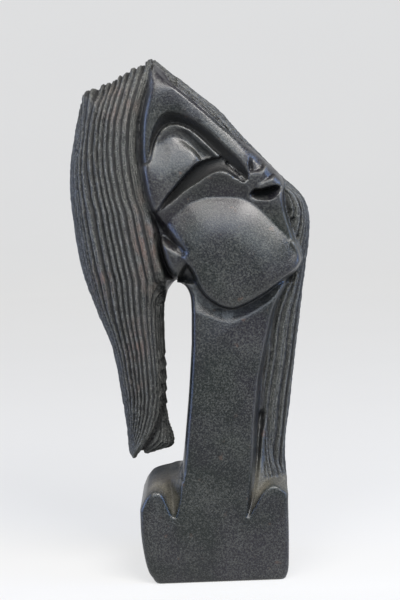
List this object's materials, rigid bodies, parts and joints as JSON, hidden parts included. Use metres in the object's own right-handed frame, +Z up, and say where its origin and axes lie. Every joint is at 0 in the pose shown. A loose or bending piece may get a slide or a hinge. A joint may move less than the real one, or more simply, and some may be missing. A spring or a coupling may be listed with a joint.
{
  "type": "stone woman sculpture",
  "caption": "Carved dark stone head of a woman, tipped back, with long fluted hair, a long neck and a block base; stands on its underside as an ornament.",
  "frame": {"origin": "middle of the flat underside of the block base", "axes": "+Z up, -Y to the viewer who faces the woman, +X to that viewer's right"},
  "size_m": [0.2288, 0.124, 0.501],
  "materials": {
    "stone": "honed dark grey serpentine, polished on face, neck and block, rough-chiselled in the hair"
  },
  "bodies": {
    "root": {"stone_woman": "stone"}
  },
  "joints": []
}
